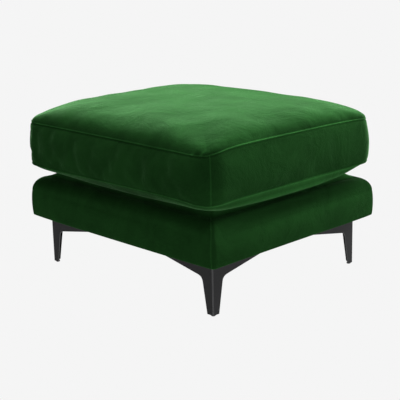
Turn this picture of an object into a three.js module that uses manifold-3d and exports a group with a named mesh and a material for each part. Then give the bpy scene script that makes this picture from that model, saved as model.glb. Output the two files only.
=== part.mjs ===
// Rectangular footstool: a loose boxed cushion on a padded base with four bent metal legs.
// Millimetres, +Z up. The origin is on the floor, under the middle of the base.
// The length runs along X and the depth along Y. The corner at +X -Y is the front one.
import * as THREE from "three";
import { mergeVertices } from "three/addons/utils/BufferGeometryUtils.js";
import Module from "manifold-3d";

// Overall
const BASE_LENGTH = 711;
const BASE_DEPTH = 614;
const CUSHION_LENGTH = 702.5;
const CUSHION_DEPTH = 620;
const UNDERSIDE_HEIGHT = 141; // floor to the flat underside of the base
const DECK_HEIGHT = 262.7; // floor to the flat middle of the base
const LOWER_SEAM_HEIGHT = 286;
const UPPER_SEAM_HEIGHT = 404.5; // at the cushion's corners
const CROWN = 59.5; // rise of the top panel's middle above the upper seam
const SEAT_GAP = 0.3; // between pieces that rest on each other

// Cushion
const CUSHION_SHIFT_X = -1.6; // the loose cushion lies a little off the middle of the base
const CUSHION_SHIFT_Y = -4.4;
const CUSHION_CORNER_RADIUS = 49;
const CROWN_SHOULDER = 3.8; // a higher power keeps the top panel level for longer
const CROWN_ROUNDNESS = 0.45; // a lower power makes it rise more steeply at the seam
const CORNER_DROP_REACH = 6; // a higher power keeps the corners' fall to the seam close to it
const SEAM_RISE_REACH = 4; // and this one the rise of the seams halfway along the sides
const SEAM_DRAW = -3.2; // the sewn sides are drawn in halfway between the corners
const BOXING_BULGE_CORNER = 7.7;
const BOXING_BULGE_EXTRA = 3.9; // more bulge halfway along a side
const LOWER_SEAM_OUT = 5; // the lower seam lies further out than the upper one
const SEAM_LIP = 2.5; // how far the seam's raised lip stands proud
const SEAM_LIP_WIDTH = 5;
const ROLL_IN = 30; // the bottom panel rolls in under the lower seam
const ROLL_IN_CORNER = 42; // and further in at the corners
const ROLL_SLACK_CORNER = 0.45; // where it also leaves the seam at a slant

// Rise of the two cushion seams halfway along each side, above the line between the corners
const SEAM_RISE = {
  right: { upper: 12, lower: -3.5 },
  back: { upper: 4, lower: 0 },
  left: { upper: 6, lower: 0 },
  front: { upper: -1, lower: 1.5 },
};

// Padded base
const BASE_CORNER_RADIUS = 14;
const BASE_BULGE_CORNER = 2.8;
const BASE_BULGE_EXTRA = 5;
const BASE_SIDE_HEIGHT = 68; // up to where the top edge starts to round over
const BASE_EDGE_IN = 35;
const BASE_EDGE_UP = 38;
const DECK_SLOPE_RUN = 45; // from the rounded edge in to where the deck is level
const BULGE_FULLNESS = 0.8; // power of the side's arch, 1 for a plain parabola
const SIDE_EVENNESS = 2.5; // power of the change from a side's middle to its corners

// Legs
const LEG_CORNER_X = 316.5; // outer corner of each leg from the middle
const LEG_CORNER_Y = 271.5;
const PLATE_THICKNESS = 3;
const BEND_RADIUS = 4; // outside of the bend
const FOOT_WIDTH = 20.7;
const POST_TOP_WIDTH = 36.3;
const POST_TOP_HEIGHT = 95.2;
const WING_LENGTH = 265;
const WING_TIP = 2.5; // height of the wing's blunt tip
const FILLET_RUN = 13; // length of the curve between post and wing, each way
const FLANGE_SIDE = 78;
const FLANGE_THICKNESS = 3;
const FOOT_GUSSET_SIDE = 20; // closes the corner at the foot over the glide

// Glides
const GLIDE_RADIUS = 5.5;
const GLIDE_INSET = 8; // centre from the leg's outer corner, each way
const GLIDE_HEIGHT = 3;
const GLIDE_CHAMFER = 0.8;

// Fineness of the faceted skins
const CUSHION_STEPS = { corner: 8, length: 14, depth: 12 };
const BASE_STEPS = { corner: 5, length: 10, depth: 8 };
const TOP_PANEL_ROWS = 15;
const TOP_PANEL_CROWDING = 1.9; // a higher power brings the rows closer to the seam
const ROLL_ROWS = 6;
const BASE_SIDE_ROWS = 8;
const BASE_EDGE_ROWS = 7;
const DECK_ROWS = 4;
const ARC_STEPS = 6;
const GLIDE_FACETS = 24;
const MERGE_DISTANCE = 1e-4;

// Heights on the boxing strip, between the two lips, where its rows lie
const BOXING_SHARES = [0, 0.1, 0.25, 0.42, 0.58, 0.75, 0.9, 1];
const UNDERSIDE_RING_SHARE = 0.55;

// Legs: where each outer corner stands, and its turn about Z.
const LEGS = [
  { name: "front", x: LEG_CORNER_X, y: -LEG_CORNER_Y, turn: Math.PI / 2 },
  { name: "right", x: LEG_CORNER_X, y: LEG_CORNER_Y, turn: Math.PI },
  { name: "back", x: -LEG_CORNER_X, y: LEG_CORNER_Y, turn: -Math.PI / 2 },
  { name: "left", x: -LEG_CORNER_X, y: -LEG_CORNER_Y, turn: 0 },
];

const LEG_TOP = UNDERSIDE_HEIGHT - SEAT_GAP;
const LEG_BOTTOM = GLIDE_HEIGHT + SEAT_GAP;

const CUSHION_GREEN = 0x2a6a2c;
const BASE_GREEN = 0x1c4a1e;
const LEG_BLACK = 0x232325;
const GLIDE_BLACK = 0x141414;

function finish(name, color, roughness, metalness) {
  return new THREE.MeshStandardMaterial({ name, color, roughness, metalness });
}

const wasm = await Module();
wasm.setup();

function solidOf(geometry) {
  const plain = geometry.clone();
  plain.deleteAttribute("normal");
  plain.deleteAttribute("uv");
  const merged = mergeVertices(plain, MERGE_DISTANCE);
  return new wasm.Manifold(
    new wasm.Mesh({
      numProp: 3,
      vertProperties: new Float32Array(merged.attributes.position.array),
      triVerts: new Uint32Array(merged.index.array),
    }),
  );
}

function geometryOf(solid) {
  const mesh = solid.getMesh();
  const shared = new THREE.BufferGeometry();
  shared.setAttribute("position", new THREE.BufferAttribute(new Float32Array(mesh.vertProperties), 3));
  shared.setIndex(new THREE.BufferAttribute(new Uint32Array(mesh.triVerts), 1));
  const faceted = shared.toNonIndexed();
  faceted.computeVertexNormals();
  return faceted;
}

function named(name, geometry, material) {
  const mesh = new THREE.Mesh(geometry, material);
  mesh.name = name;
  return mesh;
}

// Evenness along one side: 1 halfway between two corners and 0 at them.
function middleness(alongSide) {
  return 1 - Math.min(1, Math.abs(alongSide)) ** SIDE_EVENNESS;
}

// The arch of a bulging side from its lower edge (0) to its upper edge (1).
function arch(share) {
  return Math.max(0, 4 * share * (1 - share)) ** BULGE_FULLNESS;
}

// The points of a rounded rectangle, anticlockwise, each with its outward direction,
// the side it belongs to and how near that side's middle it is.
function roundedRectangle({ length, depth, radius, steps }) {
  const halfX = length / 2;
  const halfY = depth / 2;
  const corners = [
    { x: halfX - radius, y: halfY - radius, start: 0, next: "back", sideSteps: steps.length },
    { x: radius - halfX, y: halfY - radius, start: Math.PI / 2, next: "left", sideSteps: steps.depth },
    { x: radius - halfX, y: radius - halfY, start: Math.PI, next: "front", sideSteps: steps.length },
    { x: halfX - radius, y: radius - halfY, start: 1.5 * Math.PI, next: "right", sideSteps: steps.depth },
  ];
  const sideBefore = { back: "right", left: "back", front: "left", right: "front" };
  const points = [];
  function add(x, y, angle, side) {
    const lengthwise = side === "back" || side === "front";
    const middle = middleness(lengthwise ? x / halfX : y / halfY);
    points.push({ x, y, outX: Math.cos(angle), outY: Math.sin(angle), side, middle });
  }
  corners.forEach((corner, index) => {
    for (let step = 0; step <= steps.corner; step += 1) {
      const angle = corner.start + (step / steps.corner) * (Math.PI / 2);
      const side = step * 2 < steps.corner ? sideBefore[corner.next] : corner.next;
      add(corner.x + radius * Math.cos(angle), corner.y + radius * Math.sin(angle), angle, side);
    }
    const following = corners[(index + 1) % corners.length];
    const angle = corner.start + Math.PI / 2;
    const fromX = corner.x + radius * Math.cos(angle);
    const fromY = corner.y + radius * Math.sin(angle);
    const toX = following.x + radius * Math.cos(angle);
    const toY = following.y + radius * Math.sin(angle);
    for (let step = 1; step < corner.sideSteps; step += 1) {
      const share = step / corner.sideSteps;
      add(fromX + (toX - fromX) * share, fromY + (toY - fromY) * share, angle, corner.next);
    }
  });
  return points;
}

// A closed skin turned round Z, with each of its rings moved onto a rounded rectangle.
// rows run from the middle of the underside, out and up, to the middle of the top.
function skinOver(outline, rows) {
  const profile = rows.map((row, index) => new THREE.Vector2(row.middle ? 0 : 1, index));
  const skin = new THREE.LatheGeometry(profile, outline.length);
  const position = skin.getAttribute("position");
  for (let column = 0; column <= outline.length; column += 1) {
    const edge = outline[column % outline.length];
    rows.forEach((row, index) => {
      const point = row.place(row, edge);
      position.setXYZ(column * rows.length + index, point.x, point.y, point.z);
    });
  }
  skin.computeVertexNormals();
  return geometryOf(solidOf(skin));
}

// Shares from 0 to 1 that crowd towards 1, without the two ends.
function crowded(count, power) {
  const shares = [];
  for (let step = 1; step < count; step += 1) {
    shares.push(1 - (1 - step / count) ** power);
  }
  return shares;
}

// Even shares up to 1, without the 0.
function evenly(count) {
  const shares = [];
  for (let step = 1; step <= count; step += 1) {
    shares.push(step / count);
  }
  return shares;
}

function rowsAt(shares, place) {
  return shares.map((share) => ({ share, place }));
}

// The plan of the top panel's pillow: 1 in the middle and 0 along the sides.
function pillow(x, y) {
  const alongX = Math.min(1, Math.abs(x) / (CUSHION_LENGTH / 2));
  const alongY = Math.min(1, Math.abs(y) / (CUSHION_DEPTH / 2));
  return (1 - alongX ** CROWN_SHOULDER) * (1 - alongY ** CROWN_SHOULDER);
}

function upperSeamHeight(edge) {
  return UPPER_SEAM_HEIGHT + SEAM_RISE[edge.side].upper * edge.middle;
}

function lowerSeamHeight(edge) {
  return LOWER_SEAM_HEIGHT + SEAM_RISE[edge.side].lower * edge.middle;
}

function cushionPoint(edge, share, out, z) {
  return {
    x: CUSHION_SHIFT_X + (edge.x + edge.outX * out) * share,
    y: CUSHION_SHIFT_Y + (edge.y + edge.outY * out) * share,
    z,
  };
}

// The top panel at a share of the way from its middle to the upper seam.
function topPanelPoint(row, edge) {
  const share = row.share;
  const edgePillow = pillow(edge.x, edge.y) * share ** CORNER_DROP_REACH;
  const height = Math.max(0, pillow(edge.x * share, edge.y * share) - edgePillow) ** CROWN_ROUNDNESS;
  const seamPart = (upperSeamHeight(edge) - UPPER_SEAM_HEIGHT) * share ** SEAM_RISE_REACH;
  return cushionPoint(edge, share, SEAM_DRAW * edge.middle, UPPER_SEAM_HEIGHT + seamPart + CROWN * height);
}

// The boxing strip at a share of the way up from the lower seam to the upper one.
function boxingPoint(row, edge) {
  const low = lowerSeamHeight(edge);
  const high = upperSeamHeight(edge);
  const bulge = (BOXING_BULGE_CORNER + BOXING_BULGE_EXTRA * edge.middle) * arch(row.share);
  const out = bulge + SEAM_DRAW * edge.middle + LOWER_SEAM_OUT * (1 - row.share) + (row.lip ?? 0);
  return cushionPoint(edge, 1, out, low + (high - low) * row.share + (row.up ?? 0));
}

// A ring drawn in from the lower seam, each point towards the middle in step with the sides.
function drawnInPoint(edge, share, inward, z) {
  const halfX = CUSHION_LENGTH / 2;
  const halfY = CUSHION_DEPTH / 2;
  const seam = cushionPoint(edge, 1, SEAM_DRAW * edge.middle + LOWER_SEAM_OUT, z);
  return {
    x: CUSHION_SHIFT_X + (seam.x - CUSHION_SHIFT_X) * (1 - inward / halfX) * share,
    y: CUSHION_SHIFT_Y + (seam.y - CUSHION_SHIFT_Y) * (1 - inward / halfY) * share,
    z,
  };
}

function rollRun(edge) {
  return ROLL_IN + ROLL_IN_CORNER * (1 - edge.middle);
}

// The bottom panel's roll at a share of the way down from the lower seam.
function rollPoint(row, edge) {
  const seam = lowerSeamHeight(edge);
  const rest = DECK_HEIGHT + SEAT_GAP;
  const turn = (row.share * Math.PI) / 2;
  const inward = (1 - Math.cos(turn)) ** (1 - ROLL_SLACK_CORNER * (1 - edge.middle));
  return drawnInPoint(edge, 1, rollRun(edge) * inward, seam - (seam - rest) * Math.sin(turn));
}

// The flat underside, inside the roll.
function undersidePoint(row, edge) {
  return drawnInPoint(edge, row.share, rollRun(edge), DECK_HEIGHT + SEAT_GAP);
}

function seatCushion() {
  const outline = roundedRectangle({
    length: CUSHION_LENGTH,
    depth: CUSHION_DEPTH,
    radius: CUSHION_CORNER_RADIUS,
    steps: CUSHION_STEPS,
  });
  const lipShare = SEAM_LIP_WIDTH / (UPPER_SEAM_HEIGHT - LOWER_SEAM_HEIGHT);
  const boxingShares = BOXING_SHARES.map((share) => lipShare + share * (1 - 2 * lipShare));
  const topShares = crowded(TOP_PANEL_ROWS, TOP_PANEL_CROWDING).reverse();
  return skinOver(outline, [
    { middle: true, share: 0, place: undersidePoint },
    { share: UNDERSIDE_RING_SHARE, place: undersidePoint },
    ...rowsAt(evenly(ROLL_ROWS).reverse(), rollPoint),
    { share: 0, lip: SEAM_LIP, up: -SEAM_LIP / 2, place: boxingPoint },
    ...rowsAt(boxingShares, boxingPoint),
    { share: 1, lip: SEAM_LIP / 2, up: SEAM_LIP, place: boxingPoint },
    ...rowsAt(topShares, topPanelPoint),
    { middle: true, share: 0, place: topPanelPoint },
  ]);
}

// The middle of the base at a height, for the ends of its skin.
function baseMiddle(z) {
  return () => ({ x: 0, y: 0, z });
}

function baseSidePoint(row, edge) {
  const bulge = (BASE_BULGE_CORNER + BASE_BULGE_EXTRA * edge.middle) * arch(row.share);
  return {
    x: edge.x + edge.outX * bulge,
    y: edge.y + edge.outY * bulge,
    z: UNDERSIDE_HEIGHT + BASE_SIDE_HEIGHT * row.share,
  };
}

// A ring of the base drawn in towards the middle, in step with the sides.
function baseRingPoint(edge, inward, z) {
  return {
    x: edge.x * (1 - inward / (BASE_LENGTH / 2)),
    y: edge.y * (1 - inward / (BASE_DEPTH / 2)),
    z,
  };
}

// The rounded top edge at a share of its quarter turn.
function baseEdgePoint(row, edge) {
  const turn = (row.share * Math.PI) / 2;
  const z = UNDERSIDE_HEIGHT + BASE_SIDE_HEIGHT + BASE_EDGE_UP * Math.sin(turn);
  return baseRingPoint(edge, BASE_EDGE_IN * (1 - Math.cos(turn)), z);
}

// The deck rises from the rounded edge to its flat middle.
function deckPoint(row, edge) {
  const edgeTop = UNDERSIDE_HEIGHT + BASE_SIDE_HEIGHT + BASE_EDGE_UP;
  const rise = (DECK_HEIGHT - edgeTop) * Math.sin((row.share * Math.PI) / 2);
  return baseRingPoint(edge, BASE_EDGE_IN + row.share * DECK_SLOPE_RUN, edgeTop + rise);
}

function paddedBase() {
  const outline = roundedRectangle({
    length: BASE_LENGTH,
    depth: BASE_DEPTH,
    radius: BASE_CORNER_RADIUS,
    steps: BASE_STEPS,
  });
  return skinOver(outline, [
    { middle: true, place: baseMiddle(UNDERSIDE_HEIGHT) },
    ...rowsAt([0, ...evenly(BASE_SIDE_ROWS)], baseSidePoint),
    ...rowsAt(evenly(BASE_EDGE_ROWS), baseEdgePoint),
    ...rowsAt(evenly(DECK_ROWS), deckPoint),
    { middle: true, place: baseMiddle(DECK_HEIGHT) },
  ]);
}

// One plate seen square on: a tapered post that runs into a long pointed wing.
function plateShape() {
  const wingRise = LEG_TOP - WING_TIP - POST_TOP_HEIGHT;
  const wing = new THREE.Vector2(WING_LENGTH - POST_TOP_WIDTH, wingRise).normalize();
  const post = new THREE.Vector2(FOOT_WIDTH - POST_TOP_WIDTH, LEG_BOTTOM - POST_TOP_HEIGHT).normalize();
  const shape = new THREE.Shape();
  shape.moveTo(0, LEG_BOTTOM);
  shape.lineTo(FOOT_WIDTH, LEG_BOTTOM);
  shape.lineTo(POST_TOP_WIDTH + post.x * FILLET_RUN, POST_TOP_HEIGHT + post.y * FILLET_RUN);
  shape.quadraticCurveTo(
    POST_TOP_WIDTH,
    POST_TOP_HEIGHT,
    POST_TOP_WIDTH + wing.x * FILLET_RUN,
    POST_TOP_HEIGHT + wing.y * FILLET_RUN,
  );
  shape.lineTo(WING_LENGTH, LEG_TOP - WING_TIP);
  shape.lineTo(WING_LENGTH, LEG_TOP);
  shape.lineTo(0, LEG_TOP);
  shape.closePath();
  return shape;
}

// The bent section seen from above, with its outer corner at the origin and longer than the wings.
function bentSectionShape() {
  const reach = WING_LENGTH + PLATE_THICKNESS;
  const shape = new THREE.Shape();
  shape.moveTo(BEND_RADIUS, 0);
  shape.lineTo(reach, 0);
  shape.lineTo(reach, PLATE_THICKNESS);
  shape.lineTo(BEND_RADIUS, PLATE_THICKNESS);
  shape.lineTo(PLATE_THICKNESS, BEND_RADIUS);
  shape.lineTo(PLATE_THICKNESS, reach);
  shape.lineTo(0, reach);
  shape.lineTo(0, BEND_RADIUS);
  shape.absarc(BEND_RADIUS, BEND_RADIUS, BEND_RADIUS, Math.PI, 1.5 * Math.PI, false);
  shape.closePath();
  return shape;
}

// A triangular plate welded into the corner, seen from above.
function gussetShape(side) {
  const inner = PLATE_THICKNESS / 2;
  const shape = new THREE.Shape();
  shape.moveTo(inner, inner);
  shape.lineTo(side, inner);
  shape.lineTo(inner, side);
  shape.closePath();
  return shape;
}

function extruded(shape, depth) {
  return new THREE.ExtrudeGeometry(shape, { depth, bevelEnabled: false, curveSegments: ARC_STEPS });
}

// A leg whose outer corner stands at the origin, with its wings along +X and +Y.
function legGeometry() {
  const axisX = new THREE.Vector3(1, 0, 0);
  const axisY = new THREE.Vector3(0, 1, 0);
  const axisZ = new THREE.Vector3(0, 0, 1);
  const plate = extruded(plateShape(), PLATE_THICKNESS);
  const upAlongX = new THREE.Matrix4().makeBasis(axisX, axisZ, axisY.clone().negate());
  const upAlongY = new THREE.Matrix4().makeBasis(axisY, axisZ, axisX);
  const alongX = plate.clone().applyMatrix4(upAlongX).translate(0, PLATE_THICKNESS, 0);
  const alongY = plate.clone().applyMatrix4(upAlongY);
  const section = extruded(bentSectionShape(), LEG_TOP);
  const flange = extruded(gussetShape(FLANGE_SIDE), FLANGE_THICKNESS);
  flange.translate(0, 0, LEG_TOP - FLANGE_THICKNESS);
  const footGusset = extruded(gussetShape(FOOT_GUSSET_SIDE), PLATE_THICKNESS);
  footGusset.translate(0, 0, LEG_BOTTOM);
  const plates = solidOf(alongX).add(solidOf(alongY)).intersect(solidOf(section));
  return geometryOf(plates.add(solidOf(flange)).add(solidOf(footGusset)));
}

function glideGeometry() {
  const profile = [
    new THREE.Vector2(0, 0),
    new THREE.Vector2(GLIDE_RADIUS - GLIDE_CHAMFER, 0),
    new THREE.Vector2(GLIDE_RADIUS, GLIDE_CHAMFER),
    new THREE.Vector2(GLIDE_RADIUS, GLIDE_HEIGHT),
    new THREE.Vector2(0, GLIDE_HEIGHT),
  ];
  const glide = new THREE.LatheGeometry(profile, GLIDE_FACETS);
  glide.rotateX(Math.PI / 2);
  return glide;
}

const footstool = new THREE.Group();
footstool.name = "footstool";
footstool.add(named("seat_cushion", seatCushion(), finish("cushion velvet", CUSHION_GREEN, 0.85, 0)));
footstool.add(named("padded_base", paddedBase(), finish("base velvet", BASE_GREEN, 0.85, 0)));

const leg = legGeometry();
const glide = glideGeometry();
const blackMetal = finish("black metal", LEG_BLACK, 0.4, 0.5);
const blackPlastic = finish("black plastic", GLIDE_BLACK, 0.6, 0);
for (const place of LEGS) {
  const corner = new THREE.Group();
  corner.position.set(place.x, place.y, 0);
  corner.rotation.z = place.turn;
  corner.add(named(`leg_${place.name}`, leg, blackMetal));
  const foot = named(`glide_${place.name}`, glide, blackPlastic);
  foot.position.set(GLIDE_INSET, GLIDE_INSET, 0);
  corner.add(foot);
  footstool.add(corner);
}

export default footstool;
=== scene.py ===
# Looks of the rectangular footstool: velvet cushion and base, satin black legs and dark glides.
# Metres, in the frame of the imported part. The corner at +X -Y is the front one.
import math
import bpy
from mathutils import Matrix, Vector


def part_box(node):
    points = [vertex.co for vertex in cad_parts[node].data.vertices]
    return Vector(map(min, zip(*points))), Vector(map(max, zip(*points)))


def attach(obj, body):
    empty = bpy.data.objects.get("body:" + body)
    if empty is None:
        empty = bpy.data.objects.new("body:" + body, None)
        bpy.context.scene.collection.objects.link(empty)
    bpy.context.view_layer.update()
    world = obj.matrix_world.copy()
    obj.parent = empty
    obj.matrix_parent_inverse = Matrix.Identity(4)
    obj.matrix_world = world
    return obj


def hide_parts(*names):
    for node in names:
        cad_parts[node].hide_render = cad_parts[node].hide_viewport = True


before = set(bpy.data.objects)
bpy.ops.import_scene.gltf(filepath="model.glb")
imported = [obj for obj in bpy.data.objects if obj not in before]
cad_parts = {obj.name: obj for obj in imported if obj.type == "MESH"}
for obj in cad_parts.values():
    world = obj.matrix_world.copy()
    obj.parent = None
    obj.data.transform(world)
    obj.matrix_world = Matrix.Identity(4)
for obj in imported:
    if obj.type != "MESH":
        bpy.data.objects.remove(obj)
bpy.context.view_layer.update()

from types import SimpleNamespace

import bmesh
import bpy
import numpy as np
from mathutils import Matrix, Vector, noise
from mathutils.kdtree import KDTree

MM = 0.001

# An array of four has a value for the right, back, left and front side, or where it is marked as by
# corner, for the front, right, back and left corner.

# Overall
BASE_LENGTH = 711 * MM
BASE_DEPTH = 614 * MM
CUSHION_LENGTH = 702.5 * MM
CUSHION_DEPTH = 620 * MM
UNDERSIDE_HEIGHT = 141 * MM
DECK_HEIGHT = 262.7 * MM
LOWER_SEAM_HEIGHT = 286 * MM
UPPER_SEAM_HEIGHT = 404.5 * MM
CROWN = 59.5 * MM
SEAT_GAP = 0.3 * MM

# Cushion
CUSHION_SHIFT = (-1.6 * MM, -4.4 * MM)
CUSHION_CORNER_RADIUS = 49 * MM
CROWN_SHOULDER = 3.8
CROWN_ROUNDNESS = 0.45
CORNER_DROP_REACH = 6
SEAM_RISE_REACH = 4
SEAM_DRAW = -3.2 * MM
BOXING_BULGE_CORNER = 7.7 * MM
BOXING_BULGE_EXTRA = 3.9 * MM
LOWER_SEAM_OUT = 5 * MM
ROLL_IN = 30 * MM
ROLL_IN_EXTRA = np.array([20, 42, 42, 30]) * MM  # by corner
ROLL_SLACK = np.array([0.2, 0.62, 0.5, 0.4])  # by corner
ROLL_SAG = np.array([8.5, 0, 0, -9]) * MM

# Rise of the two cushion seams halfway along each side, and how much more they rise towards its end
UPPER_SEAM_RISE = np.array([9.5, 4, 6, -1]) * MM
UPPER_SEAM_LEAN = np.array([-3.5, 0, 0, 0]) * MM
LOWER_SEAM_RISE = np.array([4, 1, 2, 3.5]) * MM
LOWER_SEAM_LEAN = np.array([-1.5, 0, 0, 4]) * MM
LOWER_SEAM_CORNER_RISE = np.array([0, 6, 0, 5]) * MM  # by corner
SEAM_EVENNESS = 6

# Padded base
BASE_CORNER_RADIUS = 10 * MM
HEM_DROP = np.array([2.2, 2.2, 4, 5]) * MM
HEM_CORNER_LIFT = np.array([0, 2.2, 0, 1.4]) * MM  # by corner
HEM_LIFT_REACH = 8
HEM_SLOPE_SHARE = 0.1
SHOULDER_SAG = np.array([0, 3.5, 0, 0]) * MM  # by corner
SHOULDER_SAG_REACH = 5
BASE_BULGE_CORNER = 2.8 * MM
BASE_BULGE_EXTRA = 5 * MM
BASE_SIDE_HEIGHT = 68 * MM
BASE_EDGE_IN = 35 * MM
BASE_EDGE_UP = 38 * MM
DECK_SLOPE_RUN = 45 * MM
BULGE_FULLNESS = 0.8
SIDE_EVENNESS = 2.5

# Seams of the finished cover
LIP_HEIGHT = 2.3 * MM
LIP_WIDTH = 1.5 * MM
LIP_GROOVE = 0.7 * MM
LIP_GROOVE_OFFSET = 3.6 * MM
LIP_GROOVE_WIDTH = 1.6 * MM
CORNER_SEAM_DEPTH = 0.25 * MM
CORNER_SEAM_WIDTH = 1.4 * MM
CORNER_SEAM_RIDGE = 0.7 * MM
CORNER_SEAM_OFFSET = 2.6 * MM
CORNER_SEAM_RIDGE_WIDTH = 1.0 * MM
JOINT_FADE = 4 * MM
HEM_FADE = 3 * MM
CUSHION_CORNER_SEAM_PLACE = 6 * MM
BASE_CORNER_SEAM_PLACE = -4 * MM
BASE_HEM_RADIUS = 1.2 * MM
BASE_HEM_IN = 0.8 * BASE_HEM_RADIUS

# Fineness of the skins
HALF_SIDE_STEPS = 64
CORNER_STEP = 0.9 * MM
CORNER_FINE_RUN = 14 * MM
CORNER_STEP_LIMIT = 6 * MM
SEAM_STEP = 0.9 * MM
PANEL_STEP = 5 * MM
STEP_GROWTH = 1.25
ROLL_LENGTH = 36 * MM
BASE_EDGE_RINGS = 14
DECK_SLOPE_RINGS = 9
GRID_SHARE = 0.86
GRID_EVEN_SHARE = 0.5
CURVE_START = 1e-7
CURVE_SAMPLES = 4000
FAR = 1.0
SMALL = 1e-9


def evenness(share):
    """1 halfway between two corners and 0 at them."""
    return 1 - np.minimum(1, np.abs(share)) ** SIDE_EVENNESS


def arch(share):
    return np.maximum(0, 4 * share * (1 - share)) ** BULGE_FULLNESS


def graded(total, first, last, growth):
    """Steps from 0 to total that start at first and grow to last."""
    stops = [0.0]
    step = first
    while stops[-1] + step < total:
        stops.append(stops[-1] + step)
        step = min(last, step * growth)
    stops = np.array(stops + [total])
    if stops[-1] - stops[-2] < step / 2:
        stops = np.delete(stops, -2)
    return stops


def graded_both_ways(total, first, last, growth):
    """The same, fine at both ends."""
    half = graded(total / 2, first, last, growth)
    return np.concatenate([half, total - half[-2::-1]])


def edge_points(length, depth, radius, side, share):
    """Points of a rounded rectangle. side is 0 to 3 for right, back, left and front, and share runs
    along it from -1 to 1, from the middle of one corner to the middle of the next."""
    side = np.asarray(side)
    share = np.asarray(share, float)
    lengthwise = side % 2 == 1
    half_along = np.where(lengthwise, length, depth) / 2
    half_across = np.where(lengthwise, depth, length) / 2
    straight = half_along - radius
    run = np.abs(share) * (straight + radius * math.pi / 4)
    angle = np.maximum(0, run - straight) / radius
    along = np.sign(share) * (np.minimum(run, straight) + radius * np.sin(angle))
    across = half_across - radius + radius * np.cos(angle)
    out_along = np.sign(share) * np.sin(angle)
    out_across = np.cos(angle)

    def turned(first, second):
        return (
            np.choose(side, [first, -second, -first, second]),
            np.choose(side, [second, first, -second, -first]),
        )

    x, y = turned(across, along)
    out_x, out_y = turned(out_across, out_along)
    to_corner = straight + radius * math.pi / 4 - run
    return SimpleNamespace(
        x=x,
        y=y,
        out_x=out_x,
        out_y=out_y,
        side=side,
        along=share,
        middle=evenness(share),
        to_corner=to_corner,
    )


def crowded_share(even_share, half_run, half_steps):
    """Turns an even share along a side into one whose steps are finer at the corners."""
    fine = np.arange(0, CORNER_FINE_RUN, CORNER_STEP)
    coarser = fine[-1] + graded(half_run, CORNER_STEP, half_run, STEP_GROWTH)
    stops = np.concatenate([fine[:-1], coarser])
    stops = stops[np.concatenate([[True], np.diff(stops) < CORNER_STEP_LIMIT])]
    left = half_steps - (len(stops) - 1)
    rest = np.linspace(stops[-1], half_run, left + 1)[1:]
    places = 1 - np.concatenate([stops, rest]) / half_run
    steps = np.linspace(1, 0, half_steps + 1)
    return np.sign(even_share) * np.interp(np.abs(even_share), steps[::-1], places[::-1])


def pillow(x, y):
    along_x = np.minimum(1, np.abs(x) / (CUSHION_LENGTH / 2))
    along_y = np.minimum(1, np.abs(y) / (CUSHION_DEPTH / 2))
    return (1 - along_x**CROWN_SHOULDER) * (1 - along_y**CROWN_SHOULDER)


def seam_rise(edge, rise, lean):
    fade = 1 - np.minimum(1, np.abs(edge.along)) ** SEAM_EVENNESS
    return fade * (rise[edge.side] + lean[edge.side] * edge.along)


def upper_seam(edge):
    return UPPER_SEAM_HEIGHT + seam_rise(edge, UPPER_SEAM_RISE, UPPER_SEAM_LEAN)


def lower_seam(edge):
    at_corner = LOWER_SEAM_CORNER_RISE[nearest_corner(edge)] * np.abs(edge.along) ** SEAM_EVENNESS
    return LOWER_SEAM_HEIGHT + seam_rise(edge, LOWER_SEAM_RISE, LOWER_SEAM_LEAN) + at_corner


def cushion_point(edge, share, out, z):
    x = CUSHION_SHIFT[0] + (edge.x + edge.out_x * out) * share
    y = CUSHION_SHIFT[1] + (edge.y + edge.out_y * out) * share
    return np.stack(np.broadcast_arrays(x, y, z), axis=-1)


def top_panel(edge, share):
    edge_pillow = pillow(edge.x, edge.y) * share**CORNER_DROP_REACH
    height = np.maximum(0, pillow(edge.x * share, edge.y * share) - edge_pillow) ** CROWN_ROUNDNESS
    seam_part = (upper_seam(edge) - UPPER_SEAM_HEIGHT) * share**SEAM_RISE_REACH
    z = UPPER_SEAM_HEIGHT + seam_part + CROWN * height
    return cushion_point(edge, share, SEAM_DRAW * edge.middle, z)


def boxing(edge, share):
    low = lower_seam(edge)
    high = upper_seam(edge)
    bulge = (BOXING_BULGE_CORNER + BOXING_BULGE_EXTRA * edge.middle) * arch(share)
    out = bulge + SEAM_DRAW * edge.middle + LOWER_SEAM_OUT * (1 - share)
    return cushion_point(edge, 1, out, low + (high - low) * share)


def drawn_in(edge, share, inward, z):
    seam = cushion_point(edge, 1, SEAM_DRAW * edge.middle + LOWER_SEAM_OUT, z)
    seam_x = seam[..., 0] - CUSHION_SHIFT[0]
    seam_y = seam[..., 1] - CUSHION_SHIFT[1]
    x = CUSHION_SHIFT[0] + seam_x * (1 - inward / (CUSHION_LENGTH / 2)) * share
    y = CUSHION_SHIFT[1] + seam_y * (1 - inward / (CUSHION_DEPTH / 2)) * share
    return np.stack([x, y, seam[..., 2]], axis=-1)


def nearest_corner(edge):
    """0 to 3 for the front, right, back and left corner."""
    return (edge.side + (edge.along > 0)) % 4


def roll_run(edge):
    return ROLL_IN + ROLL_IN_EXTRA[nearest_corner(edge)] * (1 - edge.middle)


def roll(edge, share):
    seam = lower_seam(edge)
    rest = DECK_HEIGHT + SEAT_GAP
    turn = share * math.pi / 2
    inward = (1 - np.cos(turn)) ** (1 - ROLL_SLACK[nearest_corner(edge)] * (1 - edge.middle))
    sag = ROLL_SAG[edge.side] * edge.middle * np.sin(2 * turn)
    return drawn_in(edge, 1, roll_run(edge) * inward, seam - (seam - rest) * np.sin(turn) - sag)


def cushion_underside(edge, share):
    z = np.full(np.shape(edge.x), DECK_HEIGHT + SEAT_GAP)
    return drawn_in(edge, share, roll_run(edge), z)


def by_side(values, place):
    """A value for each point from those of the four sides. They meet in their mean at the corners."""
    return values.mean() + (values[place.side] - values.mean()) * evenness(place.along)


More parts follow.
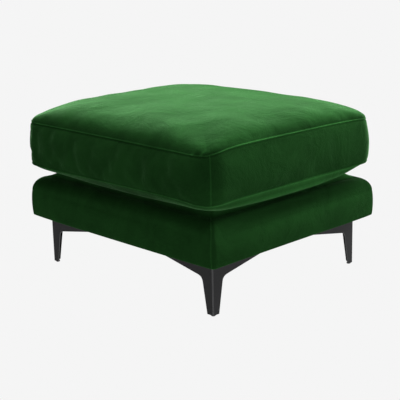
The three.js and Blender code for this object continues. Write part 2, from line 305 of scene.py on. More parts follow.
def hem_drop(place):
    """How far the base's lower edge hangs below its flat underside."""
    lift = HEM_CORNER_LIFT[nearest_corner(place)] * np.abs(place.along) ** HEM_LIFT_REACH
    return by_side(HEM_DROP, place) - lift


def edge_rise(edge):
    """How far the base's rounded top edge rises above its side."""
    sag = SHOULDER_SAG[nearest_corner(edge)] * np.abs(edge.along) ** SHOULDER_SAG_REACH
    return BASE_EDGE_UP - sag


def base_side(edge, share):
    bulge = (BASE_BULGE_CORNER + BASE_BULGE_EXTRA * edge.middle) * arch(share)
    below_hem = np.clip(1 - BASE_SIDE_HEIGHT * share / BASE_HEM_RADIUS, 0, 1)
    bulge = bulge - BASE_HEM_IN * (1 - np.sqrt(1 - below_hem**2))
    x = edge.x + edge.out_x * bulge
    y = edge.y + edge.out_y * bulge
    z = UNDERSIDE_HEIGHT + BASE_SIDE_HEIGHT * share - hem_drop(edge) * (1 - share) ** 2
    return np.stack(np.broadcast_arrays(x, y, z), axis=-1)


def base_ring(edge, inward, z):
    x = edge.x * (1 - inward / (BASE_LENGTH / 2))
    y = edge.y * (1 - inward / (BASE_DEPTH / 2))
    return np.stack(np.broadcast_arrays(x, y, z), axis=-1)


def base_edge(edge, share):
    turn = share * math.pi / 2
    z = UNDERSIDE_HEIGHT + BASE_SIDE_HEIGHT + edge_rise(edge) * np.sin(turn)
    return base_ring(edge, BASE_EDGE_IN * (1 - np.cos(turn)), z)


def base_deck_slope(edge, share):
    edge_top = UNDERSIDE_HEIGHT + BASE_SIDE_HEIGHT + edge_rise(edge)
    rise = (DECK_HEIGHT - edge_top) * np.sin(share * math.pi / 2)
    return base_ring(edge, BASE_EDGE_IN + share * DECK_SLOPE_RUN, edge_top + rise)


def base_deck(edge, share):
    inner = base_ring(edge, BASE_EDGE_IN + DECK_SLOPE_RUN, DECK_HEIGHT)
    inner[..., :2] *= np.asarray(share)[..., None]
    return inner


def base_underside(edge, share):
    x = (edge.x - edge.out_x * BASE_HEM_IN) * share
    y = (edge.y - edge.out_y * BASE_HEM_IN) * share
    near_hem = np.clip((share - 1) / HEM_SLOPE_SHARE + 1, 0, 1)
    z = UNDERSIDE_HEIGHT - hem_drop(edge) * near_hem**2
    return np.stack(np.broadcast_arrays(x, y, z), axis=-1)


class Skin:
    """A closed skin: rings of points round a rounded rectangle, closed by a square grid at each end."""

    def __init__(self, length, depth, radius, half_steps, crowding=True):
        self.size = (length, depth, radius)
        self.half_steps = half_steps
        self.crowding = crowding
        self.points = []
        self.faces = []
        self.part = []
        self.share = []
        self.to_corner = []
        self.side = []
        self.along = []
        self.row = []
        self.count = 0

    def edges(self, side, even_share, blend=1.0):
        length, depth, radius = self.size
        share = np.array(even_share, float)
        if self.crowding:
            for number, across in enumerate((depth, length, depth, length)):
                half_run = across / 2 - radius + radius * math.pi / 4
                chosen = side == number
                share[chosen] = crowded_share(share[chosen], half_run, self.half_steps)
            share = even_share + (share - even_share) * blend
        return edge_points(length, depth, radius, side, share)

    def add(self, points, part, share, edge):
        start = self.count
        self.points.append(points)
        total = len(points)
        self.part.append(np.full(total, part))
        self.share.append(np.broadcast_to(share, total))
        self.to_corner.append(edge.to_corner)
        self.side.append(edge.side)
        self.along.append(edge.along)
        self.row.append(np.full(total, len(self.row)))
        self.count += total
        return start

    def ring(self, place, share, part):
        steps = self.half_steps
        column = np.arange(8 * steps)
        side = column // (2 * steps)
        even = (column % (2 * steps) - steps) / steps
        edge = self.edges(side, even)
        return self.add(place(edge, share), part, share, edge)

    def join(self, lower, upper):
        """Quads between two rings, the second one further up the skin."""
        total = 8 * self.half_steps
        here = np.arange(total)
        after = (here + 1) % total
        quads = np.stack([lower + here, lower + after, upper + after, upper + here], axis=1)
        self.faces.append(quads)

    def cap(self, ring_start, place, outer_share, part, upward):
        """A square grid that closes the skin inside a ring."""
        steps = self.half_steps
        index = np.zeros((2 * steps + 1, 2 * steps + 1), int)
        sides, evens, shares, cells = [], [], [], []
        for ring in range(1, steps + 1):
            offset = np.arange(-ring, ring)
            outer = np.full_like(offset, ring)
            for side in range(4):
                first = np.choose(side, [outer, -offset, -outer, offset])
                second = np.choose(side, [offset, outer, -offset, -outer])
                if ring == steps:
                    index[first + steps, second + steps] = ring_start + side * 2 * steps + offset + steps
                    continue
                cells.append(np.stack([first, second], axis=1))
                sides.append(np.full_like(offset, side))
                evens.append(offset / ring)
                shares.append(np.full(len(offset), ring / steps * outer_share))
        side = np.concatenate(sides)
        share = np.concatenate(shares)
        cell = np.concatenate(cells)
        blend = np.clip((share / outer_share - GRID_EVEN_SHARE) / (1 - GRID_EVEN_SHARE), 0, 1)
        edge = self.edges(side, np.concatenate(evens), blend)
        start = self.add(place(edge, share), part, share, edge)
        index[cell[:, 0] + steps, cell[:, 1] + steps] = start + np.arange(len(share))
        middle_edge = self.edges(np.array([0]), np.array([0.0]))
        index[steps, steps] = self.add(place(middle_edge, np.array([0.0])), part, 0.0, middle_edge)
        corners = [index[:-1, :-1], index[1:, :-1], index[1:, 1:], index[:-1, 1:]]
        quads = np.stack(corners, axis=-1).reshape(-1, 4)
        self.faces.append(quads if upward else quads[:, ::-1])

    def closed(self):
        self.points = np.concatenate(self.points)
        self.faces = np.concatenate(self.faces)
        for name in ("part", "share", "to_corner", "side", "along", "row"):
            setattr(self, name, np.concatenate(getattr(self, name)))
        return self


def normals_of(points, faces):
    """Smooth vertex normals, weighted by area."""
    across = points[faces[:, 2]] - points[faces[:, 0]]
    along = points[faces[:, 3]] - points[faces[:, 1]]
    face_normals = np.cross(across, along)
    normals = np.zeros_like(points)
    for corner in range(4):
        np.add.at(normals, faces[:, corner], face_normals)
    return normals / np.maximum(SMALL, np.linalg.norm(normals, axis=1, keepdims=True))


def mesh_object(name, points, faces, smooth=True):
    mesh = bpy.data.meshes.new(name)
    mesh.from_pydata(points.tolist(), [], faces.tolist())
    mesh.update()
    mesh.polygons.foreach_set("use_smooth", [smooth] * len(mesh.polygons))
    piece = bpy.data.objects.new(name, mesh)
    bpy.context.scene.collection.objects.link(piece)
    return piece


def bell(distance, width):
    return np.exp(-((distance / width) ** 2))


def lip_profile(distance, on_boxing):
    """Relief across a seam: a folded ridge with a shallow groove on the boxing beside it."""
    ridge = LIP_HEIGHT * bell(distance, LIP_WIDTH)
    groove = LIP_GROOVE * bell(distance - LIP_GROOVE_OFFSET, LIP_GROOVE_WIDTH)
    return ridge - np.where(on_boxing, groove, 0)


def corner_seam_distance(skin, place):
    """Distance to the nearest sewn joint up a corner. The joint is at place past the corner's middle."""
    past = np.where(skin.along < 0, skin.to_corner, -skin.to_corner)
    return np.abs(past - place)


def corner_seam_profile(distance):
    """Relief across a sewn joint up a corner: a narrow ridge with a shallow groove on each side."""
    ridge = CORNER_SEAM_RIDGE * bell(distance, CORNER_SEAM_RIDGE_WIDTH)
    return ridge - CORNER_SEAM_DEPTH * bell(distance - CORNER_SEAM_OFFSET, CORNER_SEAM_WIDTH)


# Parts of the skins
UNDERSIDE, ROLL, BOXING, TOP, BASE_SIDE, BASE_EDGE, DECK = range(7)


def top_panel_shares(seam_step, panel_step):
    """Shares for the top panel's rings, spaced along its curve from the seam inwards."""
    inward = np.geomspace(CURVE_START, 1 - GRID_SHARE, CURVE_SAMPLES)
    rise = CROWN * (CROWN_SHOULDER * inward) ** CROWN_ROUNDNESS
    run = inward * CUSHION_DEPTH / 2
    length = np.concatenate([[0], np.cumsum(np.hypot(np.diff(rise), np.diff(run)))]) + rise[0]
    stops = graded(length[-1], seam_step, panel_step, STEP_GROWTH)[1:]
    return 1 - np.interp(stops, length, inward), stops


def cushion_skin(half_steps=HALF_SIDE_STEPS, seam_step=SEAM_STEP, panel_step=PANEL_STEP, crowding=True):
    skin = Skin(CUSHION_LENGTH, CUSHION_DEPTH, CUSHION_CORNER_RADIUS, half_steps, crowding)
    height = UPPER_SEAM_HEIGHT - LOWER_SEAM_HEIGHT
    starts = []
    to_seams = []
    for stop in graded(ROLL_LENGTH, seam_step, panel_step, STEP_GROWTH)[:0:-1]:
        starts.append(skin.ring(roll, stop / ROLL_LENGTH, ROLL))
        to_seams.append((stop, FAR))
    for stop in graded_both_ways(height, seam_step, panel_step, STEP_GROWTH):
        starts.append(skin.ring(boxing, stop / height, BOXING))
        to_seams.append((stop, height - stop))
    shares, stops = top_panel_shares(seam_step, panel_step)
    for share, stop in zip(shares, stops):
        starts.append(skin.ring(top_panel, share, TOP))
        to_seams.append((FAR, stop))
    for lower, upper in zip(starts, starts[1:]):
        skin.join(lower, upper)
    skin.cap(starts[-1], top_panel, shares[-1], TOP, True)
    skin.cap(starts[0], cushion_underside, 1.0, UNDERSIDE, False)
    skin.closed()
    # Distance along the surface to the lower and the upper seam
    skin.to_lower, skin.to_upper = np.full((2, skin.count), FAR)
    for start, (to_lower, to_upper) in zip(starts, to_seams):
        ring = slice(start, start + 8 * half_steps)
        skin.to_lower[ring] = to_lower
        skin.to_upper[ring] = to_upper
    return skin


def base_skin():
    skin = Skin(BASE_LENGTH, BASE_DEPTH, BASE_CORNER_RADIUS, HALF_SIDE_STEPS)
    starts = []
    for stop in graded(BASE_SIDE_HEIGHT, SEAM_STEP, PANEL_STEP, STEP_GROWTH):
        starts.append(skin.ring(base_side, stop / BASE_SIDE_HEIGHT, BASE_SIDE))
    for share in np.linspace(0, 1, BASE_EDGE_RINGS + 1)[1:]:
        starts.append(skin.ring(base_edge, share, BASE_EDGE))
    for share in np.linspace(0, 1, DECK_SLOPE_RINGS + 1)[1:]:
        starts.append(skin.ring(base_deck_slope, share, DECK))
    for lower, upper in zip(starts, starts[1:]):
        skin.join(lower, upper)
    skin.cap(starts[-1], base_deck, 1.0, DECK, True)
    skin.cap(starts[0], base_underside, 1.0, UNDERSIDE, False)
    return skin.closed()


# Cloth of the cushion's cover
CLOTH_HALF_STEPS = 44
CLOTH_STEP = 7 * MM
CLOTH_FRAMES = 20
CLOTH_SETTINGS = {
    "quality": 6,
    "mass": 0.3,
    "tension_stiffness": 25,
    "compression_stiffness": 25,
    "shear_stiffness": 8,
    "bending_stiffness": 0.3,
    "tension_damping": 15,
    "compression_damping": 15,
    "air_damping": 3,
    "use_pressure": True,
    "uniform_pressure_force": 4,
    "shrink_min": -0.016,
    "vertex_group_mass": "held",
}
CLOTH_REACH = 12 * MM
SMOOTHING_ROUNDS = 80
CARRIED_ROUNDS = 3
CARRIED_NEAR = 6
CARRIED_SOFTNESS = 1 * MM
TOP_FOLD_SHARE = 0.9
TOP_FOLD_REACH = 28 * MM
SIDE_FOLD_SHARE = np.array([0.2, 0.8, 1.7, 2.0])

# Unevenness of the filling
LUMP_HEIGHT = 4 * MM
LUMP_SCALE = 7
LUMP_START = Vector((16, 15, 18))
DENT_HEIGHT = 1.6 * MM
DENT_SCALE = 17
UNEVEN_FADE = 12 * MM

# Short creases that run from the seam onto the top panel near the front corner
CREASES = (
    (Vector((0.302, -0.314, 0.405)), Vector((0.321, -0.283, 0.424))),
    (Vector((0.324, -0.308, 0.405)), Vector((0.329, -0.297, 0.415))),
)
CREASE_HEIGHT = 0.8 * MM
CREASE_WIDTH = 3 * MM
CREASE_FADE = 0.7
# Painted highlight along the creases
CREASE_HIGHLIGHT = 1.2

# How much painted light and shade make the velvet lighter or darker in places, as a share of its plain
# colour
# Painted highlights along the folded lips of the upper and lower seams, by side
UPPER_LIP_HIGHLIGHT = np.array([1.8, 1.2, 0.6, 0.5])
LOWER_LIP_HIGHLIGHT = np.array([1.0, 1.0, 1.0, 1.1])
# Painted shade in the groove on the boxing below the upper lip, by side
GROOVE_SHADE = np.array([0, 0.1, 0.4, 0.5])
# Painted light from the bright floor on the cushion's underside roll, by side, with a dip just below the
# lower seam
BAND_FLOOR_LIGHT = np.array([1.65, 1, 0.4, 0.35])
BAND_FADE = np.array([-0.3, 0.3, 0.6, 1.3])
BAND_DIP = 0.6
BAND_DIP_OFFSET = 7 * MM
BAND_DIP_WIDTH = 4 * MM
# Painted highlight along the base's lower edge
HEM_HIGHLIGHT = 0.6
# Painted highlight on the ridge of the sewn corner joints, partly also nap worn along them
CORNER_SEAM_HIGHLIGHT_AND_WEAR = 0.8
# Painted bounce light on the base's top edge where the cushion rests on it, by side
BASE_TOP_BOUNCE_LIGHT = np.array([6.0, 3.0, 3.0, 3.0])
BASE_TOP_FADE = 10.5 * MM
BASE_SHADE = np.array([0.58, 0.2, 0, 0])
BASE_SHADE_HEIGHT = 233 * MM
BASE_SHADE_WIDTH = 17 * MM
SHOULDER_SHADE = np.array([0, 0.9, 0, 0])  # by corner
SHOULDER_SHADE_RUN = 100 * MM


def edges_of(faces):
    pairs = np.concatenate([faces[:, [0, 1]], faces[:, [1, 2]], faces[:, [2, 3]], faces[:, [3, 0]]])
    return np.unique(np.sort(pairs, axis=1), axis=0)


def smoothed(values, pairs, rounds):
    """Averages a value per point with those of its neighbours, some rounds over."""
    first = np.concatenate([pairs[:, 0], pairs[:, 1]])
    second = np.concatenate([pairs[:, 1], pairs[:, 0]])
    total = len(values)
    count = np.maximum(1, np.bincount(first, minlength=total))
    result = values.copy()
    for _ in range(rounds):
        spread = np.bincount(first, weights=result[second], minlength=total)
        result = 0.5 * result + 0.5 * spread / count
    return result


def simulated_cloth(skin, points, held):
    """Runs the cover as cloth under the filling's pressure and gives how far each point moves out."""
    piece = mesh_object("cloth_trial", points, skin.faces)
    group = piece.vertex_groups.new(name="held")
    group.add(np.flatnonzero(held).tolist(), 1.0, "REPLACE")
    cloth = piece.modifiers.new("cloth", "CLOTH")
    for name, value in CLOTH_SETTINGS.items():
        setattr(cloth.settings, name, value)
    cloth.settings.effector_weights.gravity = 0
    cloth.point_cache.frame_start = 1
    cloth.point_cache.frame_end = CLOTH_FRAMES
    scene = bpy.context.scene
    for step in range(1, CLOTH_FRAMES + 1):
        scene.frame_set(step)
    shaped = piece.evaluated_get(bpy.context.evaluated_depsgraph_get()).to_mesh()
    moved = np.zeros(len(points) * 3)
    shaped.vertices.foreach_get("co", moved)
    movement = moved.reshape(-1, 3) - points
    scene.frame_set(1)
    bpy.data.objects.remove(piece)
    outward = (movement * normals_of(points, skin.faces)).sum(axis=1)
    return np.clip(outward, -CLOTH_REACH, CLOTH_REACH)


def carried(values, places, new_places):
    """Values known at some places, spread to new places from the nearest few."""
    tree = KDTree(len(places))
    for index, place in enumerate(places):
        tree.insert(place, index)
    tree.balance()
    result = np.zeros(len(new_places))
    for index, place in enumerate(new_places):
        found = tree.find_n(place, CARRIED_NEAR)
        weights = np.array([1 / (distance + CARRIED_SOFTNESS) ** 2 for _, _, distance in found])
        chosen = [item for _, item, _ in found]
        result[index] = weights @ values[chosen] / weights.sum()
    return result


def cloth_folds(skin):
    """Folds of the cover, from cloth on a coarser skin, for each point of the finer one."""
    coarse = cushion_skin(CLOTH_HALF_STEPS, CLOTH_STEP, CLOTH_STEP, crowding=False)
    on_seam = np.minimum(coarse.to_upper, coarse.to_lower) < SMALL
    held = np.isin(coarse.part, (ROLL, UNDERSIDE)) | on_seam
    outward = simulated_cloth(coarse, coarse.points, held)
    pairs = edges_of(coarse.faces)
    in_row = pairs[coarse.row[pairs[:, 0]] == coarse.row[pairs[:, 1]]]
    folds = outward - smoothed(outward, in_row, SMOOTHING_ROUNDS)
    top_share = TOP_FOLD_SHARE * bell(coarse.to_upper, TOP_FOLD_REACH)
    folds *= np.where(coarse.part == TOP, top_share, SIDE_FOLD_SHARE[coarse.side])
    fine_folds = carried(folds, coarse.points, skin.points)
    return smoothed(fine_folds, edges_of(skin.faces), CARRIED_ROUNDS)


def uneven_filling(points):
    """Soft lumps and smaller dents of a filling."""
    places = [Vector(point) for point in points]
    lumps = np.array([noise.noise(LUMP_START + place * LUMP_SCALE) for place in places])
    dents = np.array([noise.noise(LUMP_START + place * DENT_SCALE) for place in places])
    return LUMP_HEIGHT * lumps + DENT_HEIGHT * dents


def creases(points):
    """1 on the middle of a crease, fading to 0 beside it."""
    depth = np.zeros(len(points))
    for start, end in CREASES:
        run = np.array(end - start)
        share = np.clip((points - np.array(start)) @ run / (run @ run), 0, 1)
        away = np.linalg.norm(points - np.array(start) - share[:, None] * run, axis=1)
        depth = np.maximum(depth, bell(away, CREASE_WIDTH) * (1 - CREASE_FADE * share))
    return depth


def set_painted_light(piece, extra):
    """Keeps how much painted light and shade change the colour at each point, for the velvet to read."""
    layer = piece.data.attributes.new("painted_light_and_shade", "FLOAT", "POINT")
    layer.data.foreach_set("value", extra)


def make_cushion():
    skin = cushion_skin()
    points = skin.points.copy()
    from_seam = np.minimum(skin.to_upper, skin.to_lower)
    normals = normals_of(points, skin.faces)
    resting = np.isin(skin.part, (ROLL, UNDERSIDE))
    creased = creases(points) * (skin.part == TOP)
    uneven = uneven_filling(points)
    uneven += cloth_folds(skin)
    uneven *= np.clip(from_seam / UNEVEN_FADE, 0, 1)
    points += normals * np.where(resting, 0, uneven)[:, None]
    normals = normals_of(points, skin.faces)
    on_boxing = skin.part == BOXING
    relief = lip_profile(skin.to_upper, on_boxing) + lip_profile(skin.to_lower, on_boxing)
    clear = np.clip(from_seam / JOINT_FADE, 0, 1)
    to_joint = corner_seam_distance(skin, CUSHION_CORNER_SEAM_PLACE)
    relief += np.where(on_boxing, corner_seam_profile(to_joint) * clear, 0)
    relief += CREASE_HEIGHT * creased
    points += normals * relief[:, None]
    piece = mesh_object("cushion_cover", points, skin.faces)
    # Painted highlights along both seam lips
    lighter = by_side(UPPER_LIP_HIGHLIGHT, skin) * bell(skin.to_upper, LIP_WIDTH)
    lighter += by_side(LOWER_LIP_HIGHLIGHT, skin) * bell(skin.to_lower, LIP_WIDTH)
    # Painted shade in the groove below the upper lip
    below_lip = np.where(on_boxing, bell(skin.to_upper - LIP_GROOVE_OFFSET, LIP_GROOVE_WIDTH), 0)
    lighter -= by_side(GROOVE_SHADE, skin) * below_lip
    # Corner joints: painted highlight on the seam ridge, partly nap worn along it
    lighter += np.where(on_boxing, CORNER_SEAM_HIGHLIGHT_AND_WEAR * bell(to_joint, CORNER_SEAM_RIDGE_WIDTH), 0)
    # Painted floor light on the roll and underside that rest on the base
    below_seam = 1 - BAND_DIP * bell(skin.to_lower - BAND_DIP_OFFSET, BAND_DIP_WIDTH)
    band = by_side(BAND_FLOOR_LIGHT, skin) * below_seam - by_side(BAND_FADE, skin) * skin.share
    lighter += np.where(resting, band, 0)
    # Adds a painted highlight along the creases
    set_painted_light(piece, lighter + CREASE_HIGHLIGHT * creased)
    return piece


def make_base():
    skin = base_skin()
    points = skin.points.copy()
    normals = normals_of(points, skin.faces)
    on_side = (skin.part == BASE_SIDE) | (skin.part == BASE_EDGE)
    from_below = points[:, 2] - UNDERSIDE_HEIGHT + hem_drop(skin)
    clear = np.clip(from_below / HEM_FADE, 0, 1)
    to_joint = corner_seam_distance(skin, BASE_CORNER_SEAM_PLACE)
    relief = np.where(on_side, corner_seam_profile(to_joint) * clear, 0)
    normals[:, 2] *= clear
    points += normals * relief[:, None]
    piece = mesh_object("base_cover", points, skin.faces)
    # Painted highlight along the lower edge
    hem = bell(from_below, LIP_WIDTH)
    # Corner joints: painted highlight on the seam ridge, partly nap worn along it
    seam = np.where(on_side, bell(to_joint, CORNER_SEAM_RIDGE_WIDTH), 0)
    lightness = 1 + HEM_HIGHLIGHT * hem + CORNER_SEAM_HIGHLIGHT_AND_WEAR * seam
    # Painted bounce light near the deck where the cushion rests
    lightness += by_side(BASE_TOP_BOUNCE_LIGHT, skin) * bell(DECK_HEIGHT - points[:, 2], BASE_TOP_FADE)
    lightness -= by_side(BASE_SHADE, skin) * bell(points[:, 2] - BASE_SHADE_HEIGHT, BASE_SHADE_WIDTH)
    at_end = SHOULDER_SHADE[nearest_corner(skin)] * bell(skin.to_corner, SHOULDER_SHADE_RUN)
    lightness *= 1 - at_end * np.where(skin.part == BASE_EDGE, skin.share, 0)
    set_painted_light(piece, lightness - 1)
    return piece


# Rounding of the hard pieces
WELD_DISTANCE = 0.01 * MM
LEVEL_ANGLE = math.radians(1)
SHARP_ANGLE = math.radians(25)
ROUND_EDGE = {"segments": 2, "profile": 0.5, "affect": "EDGES", "clamp_overlap": True}


def softened(name, node, edge_radius):
    """A finer piece on a hard node's shape, with its faces merged and its edges rounded."""
    form = bmesh.new()
    form.from_mesh(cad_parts[node].data)
    bmesh.ops.remove_doubles(form, verts=form.verts, dist=WELD_DISTANCE)
    bmesh.ops.dissolve_limit(form, angle_limit=LEVEL_ANGLE, verts=form.verts, edges=form.edges)
    sharp = [edge for edge in form.edges if edge.calc_face_angle(0) > SHARP_ANGLE]
    bmesh.ops.bevel(form, geom=sharp, offset=edge_radius, **ROUND_EDGE)
    mesh = bpy.data.meshes.new(name)
    form.to_mesh(mesh)
    form.free()
    mesh.polygons.foreach_set("use_smooth", [True] * len(mesh.polygons))
    piece = bpy.data.objects.new(name, mesh)
    bpy.context.scene.collection.objects.link(piece)
    steady = piece.modifiers.new("steady shading", "WEIGHTED_NORMAL")
    steady.keep_sharp = True
    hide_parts(node)
    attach(piece, "root")
    return piece


# Materials


def new_material(name):
    material = bpy.data.materials.new(name)
    material.use_nodes = True
    nodes = material.node_tree.nodes
    nodes.clear()
    output = nodes.new("ShaderNodeOutputMaterial")
    shader = nodes.new("ShaderNodeBsdfPrincipled")
    material.node_tree.links.new(shader.outputs["BSDF"], output.inputs["Surface"])
    return material, nodes, material.node_tree.links, shader


# Velvet: marks where its nap lies differently, and a fine nap
MARK_SCALE = 10
MARK_DETAIL = 8
MARK_ROUGHNESS = 0.68
MARK_DISTORTION = 0.6
MARK_RELIEF = 18
NAP_SCALE = 420
NAP_DETAIL = 3
NAP_SHARE = 0.35
NAP_RELIEF = 0.25 * MM
DARK_PLACE = 0.42
LIGHT_PLACE = 0.92
VELVET_ROUGHNESS = 0.85
SHEEN_ROUGHNESS = 0.3
SHEEN_TINT = (0.43, 0.97, 0.43)
CUSHION_DARK = (0.0048, 0.022, 0.0048)
CUSHION_LIGHT = (0.0086, 0.040, 0.0085)
CUSHION_SHEEN = 0.2
BASE_DARK = (0.0053, 0.024, 0.0053)
BASE_LIGHT = (0.0094, 0.0437, 0.0093)
BASE_SHEEN = 0.12

# Coats of the legs
GRAIN_SCALE = 900
GRAIN_DETAIL = 2
GRAIN_RELIEF = 0.1 * MM
GRAIN_STRENGTH = 0.2
GRAIN_CONTRAST = 0.2
GRAIN_DARK_PLACE = 0.3
GRAIN_LIGHT_PLACE = 0.7


def noise_node(nodes, scale, detail, roughness=0.5, distortion=0.0):
    node = nodes.new("ShaderNodeTexNoise")
    node.inputs["Scale"].default_value = scale
    node.inputs["Detail"].default_value = detail
    node.inputs["Roughness"].default_value = roughness
    node.inputs["Distortion"].default_value = distortion
    return node


def shades_node(nodes, dark, dark_place, light, light_place):
    node = nodes.new("ShaderNodeValToRGB")
    first, last = node.color_ramp.elements
    first.position = dark_place
    first.color = (*dark, 1)
    last.position = light_place
    last.color = (*light, 1)
    return node


def bump_node(nodes, strength, distance):
    node = nodes.new("ShaderNodeBump")
    node.inputs["Strength"].default_value = strength
    node.inputs["Distance"].default_value = distance
    return node


def weighted_sum_node(nodes, weight):
    """First input times the weight, plus the third input."""
    node = nodes.new("ShaderNodeMath")
    node.operation = "MULTIPLY_ADD"
    node.inputs[1].default_value = weight
    return node


def painted_lightness(nodes, links):
    """How light the velvet is made by painted light and shade, from what the mesh keeps: 1 where it
    keeps nothing.
    """
    extra = nodes.new("ShaderNodeAttribute")
    extra.attribute_name = "painted_light_and_shade"
    lightness = nodes.new("ShaderNodeMath")
    lightness.operation = "ADD"
    lightness.inputs[1].default_value = 1
    links.new(extra.outputs["Fac"], lightness.inputs[0])
    return lightness.outputs["Value"]


def velvet(name, dark, light, sheen):
    material, nodes, links, shader = new_material(name)
    place = nodes.new("ShaderNodeTexCoord")
    marks = noise_node(nodes, MARK_SCALE, MARK_DETAIL, MARK_ROUGHNESS, MARK_DISTORTION)
    nap = noise_node(nodes, NAP_SCALE, NAP_DETAIL)
    mixed = weighted_sum_node(nodes, NAP_SHARE)
    colours = shades_node(nodes, dark, DARK_PLACE, light, LIGHT_PLACE)
    lightened = nodes.new("ShaderNodeVectorMath")
    lightened.operation = "SCALE"
    relief = weighted_sum_node(nodes, MARK_RELIEF)
    bump = bump_node(nodes, 1, NAP_RELIEF)
    links.new(place.outputs["Object"], marks.inputs["Vector"])
    links.new(place.outputs["Object"], nap.inputs["Vector"])
    links.new(nap.outputs["Fac"], mixed.inputs[0])
    links.new(marks.outputs["Fac"], mixed.inputs[2])
    links.new(mixed.outputs["Value"], colours.inputs["Fac"])
    links.new(colours.outputs["Color"], lightened.inputs["Vector"])
    # The colour is scaled by the painted light and shade that the mesh keeps
    links.new(painted_lightness(nodes, links), lightened.inputs["Scale"])
    links.new(lightened.outputs["Vector"], shader.inputs["Base Color"])
    links.new(marks.outputs["Fac"], relief.inputs[0])
    links.new(nap.outputs["Fac"], relief.inputs[2])
    links.new(relief.outputs["Value"], bump.inputs["Height"])
    links.new(bump.outputs["Normal"], shader.inputs["Normal"])
    shader.inputs["Roughness"].default_value = VELVET_ROUGHNESS
    shader.inputs["Specular IOR Level"].default_value = 0.0
    shader.inputs["Sheen Weight"].default_value = sheen
    shader.inputs["Sheen Roughness"].default_value = SHEEN_ROUGHNESS
    shader.inputs["Sheen Tint"].default_value = (*SHEEN_TINT, 1)
    return material


def powder_coat(name, colour, roughness, gloss):
    material, nodes, links, shader = new_material(name)
    place = nodes.new("ShaderNodeTexCoord")
    grain = noise_node(nodes, GRAIN_SCALE, GRAIN_DETAIL)
    dark = [(1 - GRAIN_CONTRAST) * channel for channel in colour]
    light = [(1 + GRAIN_CONTRAST) * channel for channel in colour]
    shades = shades_node(nodes, dark, GRAIN_DARK_PLACE, light, GRAIN_LIGHT_PLACE)
    bump = bump_node(nodes, GRAIN_STRENGTH, GRAIN_RELIEF)
    links.new(place.outputs["Object"], grain.inputs["Vector"])
    links.new(grain.outputs["Fac"], shades.inputs["Fac"])
    links.new(shades.outputs["Color"], shader.inputs["Base Color"])
    links.new(grain.outputs["Fac"], bump.inputs["Height"])
    links.new(bump.outputs["Normal"], shader.inputs["Normal"])
    shader.inputs["Roughness"].default_value = roughness
    shader.inputs["Specular IOR Level"].default_value = gloss
    return material


cushion = make_cushion()
cushion.data.materials.append(velvet("cushion velvet", CUSHION_DARK, CUSHION_LIGHT, CUSHION_SHEEN))
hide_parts("seat_cushion")
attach(cushion, "root")

base = make_base()
base.data.materials.append(velvet("base velvet", BASE_DARK, BASE_LIGHT, BASE_SHEEN))
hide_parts("padded_base")
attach(base, "root")

LEG_EDGE_RADIUS = 0.5 * MM
GLIDE_EDGE_RADIUS = 0.3 * MM
PLATE_THICKNESS = 3 * MM
OUTER_FACE_DEPTH = 0.55 * PLATE_THICKNESS
INNER_FACE_DEPTH = 0.8 * PLATE_THICKNESS
SQUARE_ON = 0.95

# Finishes of a leg, by their place in its list of materials
OUTSIDE, INSIDE_SHADE, EDGE_HIGHLIGHT = range(3)


def finish_by_place(leg, node):
    """Gives the leg's outer faces, its inner faces and its bend and sheet edges their finishes: painted
    shade on the inner faces, a painted highlight on the bend and sheet edges.
    """
    low, high = (np.array(corner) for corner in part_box(node))
    outer = np.maximum(np.abs(low), np.abs(high))
    for face in leg.data.polygons:
        depth = (outer - np.abs(np.array(face.center)))[:2]
        facing = np.abs(np.array(face.normal))[:2]
        if ((depth < OUTER_FACE_DEPTH) & (facing > SQUARE_ON)).any():
            face.material_index = OUTSIDE
        elif (depth > INNER_FACE_DEPTH).all():
            face.material_index = INSIDE_SHADE
        else:
            face.material_index = EDGE_HIGHLIGHT


leg_finishes = (
    powder_coat("satin black coat", (0.028, 0.028, 0.029), roughness=0.45, gloss=0.04),
    # Painted shade: a near-black coat on the faces inside the bend
    powder_coat("coat darkened inside the bend as painted shade", (0.002, 0.002, 0.002), roughness=0.8, gloss=0.0),
    # Painted highlight: a lighter coat on the bend and the sheet edges
    powder_coat("coat with painted highlight at bend and edges", (0.085, 0.085, 0.087), roughness=0.45, gloss=0.05),
)
plastic = powder_coat("black plastic", (0.008, 0.008, 0.008), roughness=0.55, gloss=0.2)
for corner in ("front", "right", "back", "left"):
    leg = softened("leg_plate_" + corner, "leg_" + corner, LEG_EDGE_RADIUS)
    for finish in leg_finishes:
        leg.data.materials.append(finish)
    finish_by_place(leg, "leg_" + corner)
    glide = softened("glide_pad_" + corner, "glide_" + corner, GLIDE_EDGE_RADIUS)
    glide.data.materials.append(plastic)


# Stage, light and camera

FLOOR_BRIGHTNESS = 0.913
FLOOR_HALF = 40.0
STUDIO_GREY = (0.01, 0.01, 0.01, 1)
LIGHT_TARGET = (0, 0, 0.35)

CAMERA_AZIMUTH = math.radians(45.88)
CAMERA_ELEVATION = math.radians(14.6)
CAMERA_ROLL = math.radians(-1.33)
CAMERA_DISTANCE = 2.84486
CAMERA_TARGET = Vector((0, 0, 0.21))
CAMERA_LENS = 93.69
CAMERA_SENSOR = 36
CAMERA_SHIFT = (0.0006, -0.02696)
CAMERA_REACH = 200


def make_floor():
    corners = np.array([[-1, -1, 0], [1, -1, 0], [1, 1, 0], [-1, 1, 0]]) * FLOOR_HALF
    floor = mesh_object("floor", corners, np.array([[0, 1, 2, 3]]), smooth=False)
    material, _, _, shader = new_material("pale floor")
    shader.inputs["Base Color"].default_value = (0.0, 0.0, 0.0, 1)
    shader.inputs["Roughness"].default_value = 1.0
    shader.inputs["Specular IOR Level"].default_value = 0.0
    shader.inputs["Emission Color"].default_value = (FLOOR_BRIGHTNESS,) * 3 + (1,)
    shader.inputs["Emission Strength"].default_value = 1.0
    floor.data.materials.append(material)


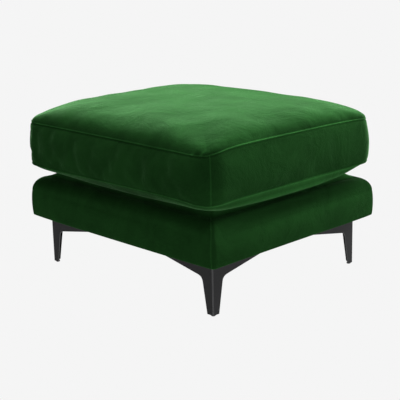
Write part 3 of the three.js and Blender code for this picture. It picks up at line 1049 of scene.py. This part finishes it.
def area_light(name, place, target, size, power):
    data = bpy.data.lights.new(name, "AREA")
    data.shape = "RECTANGLE"
    data.size, data.size_y = size
    data.energy = power
    light = bpy.data.objects.new(name, data)
    light.location = place
    light.rotation_mode = "QUATERNION"
    light.rotation_quaternion = (Vector(target) - Vector(place)).to_track_quat("-Z", "Y")
    bpy.context.scene.collection.objects.link(light)


def make_light():
    world = bpy.data.worlds.new("studio")
    world.use_nodes = True
    sky = world.node_tree.nodes["Background"]
    sky.inputs["Color"].default_value = STUDIO_GREY
    bpy.context.scene.world = world
    area_light("overhead box", (0, 0, 2.8), LIGHT_TARGET, size=(2.0, 2.0), power=100)
    area_light("back box", (-1.6, 1.6, 1.9), LIGHT_TARGET, size=(2.0, 2.0), power=255)
    area_light("key box", (0.3, 2.3, 1.9), LIGHT_TARGET, size=(2.0, 2.0), power=340)
    area_light("left fill", (-1.9, -1.9, 1.2), LIGHT_TARGET, size=(1.6, 1.6), power=8)
    area_light("low strip", (2.2, 1.9, 0.13), (0.3, -0.1, 0.13), size=(1.2, 0.22), power=22)
    area_light("front fill", (2.0, -2.1, 0.5), (0, 0, 0.1), size=(0.5, 0.5), power=12)


def make_camera():
    level = math.cos(CAMERA_ELEVATION)
    back = Vector(
        (
            math.sin(CAMERA_AZIMUTH) * level,
            -math.cos(CAMERA_AZIMUTH) * level,
            math.sin(CAMERA_ELEVATION),
        )
    )
    data = bpy.data.cameras.new("camera")
    data.sensor_width = CAMERA_SENSOR
    data.lens = CAMERA_LENS
    data.shift_x, data.shift_y = CAMERA_SHIFT
    data.clip_end = CAMERA_REACH
    camera = bpy.data.objects.new("camera", data)
    camera.rotation_mode = "QUATERNION"
    camera.location = CAMERA_TARGET + back * CAMERA_DISTANCE
    upright = (-back).to_track_quat("-Z", "Y")
    camera.rotation_quaternion = upright @ Matrix.Rotation(CAMERA_ROLL, 3, "Z").to_quaternion()
    bpy.context.scene.collection.objects.link(camera)
    bpy.context.scene.camera = camera


make_floor()
make_light()
make_camera()
bpy.context.scene.view_settings.view_transform = "Standard"
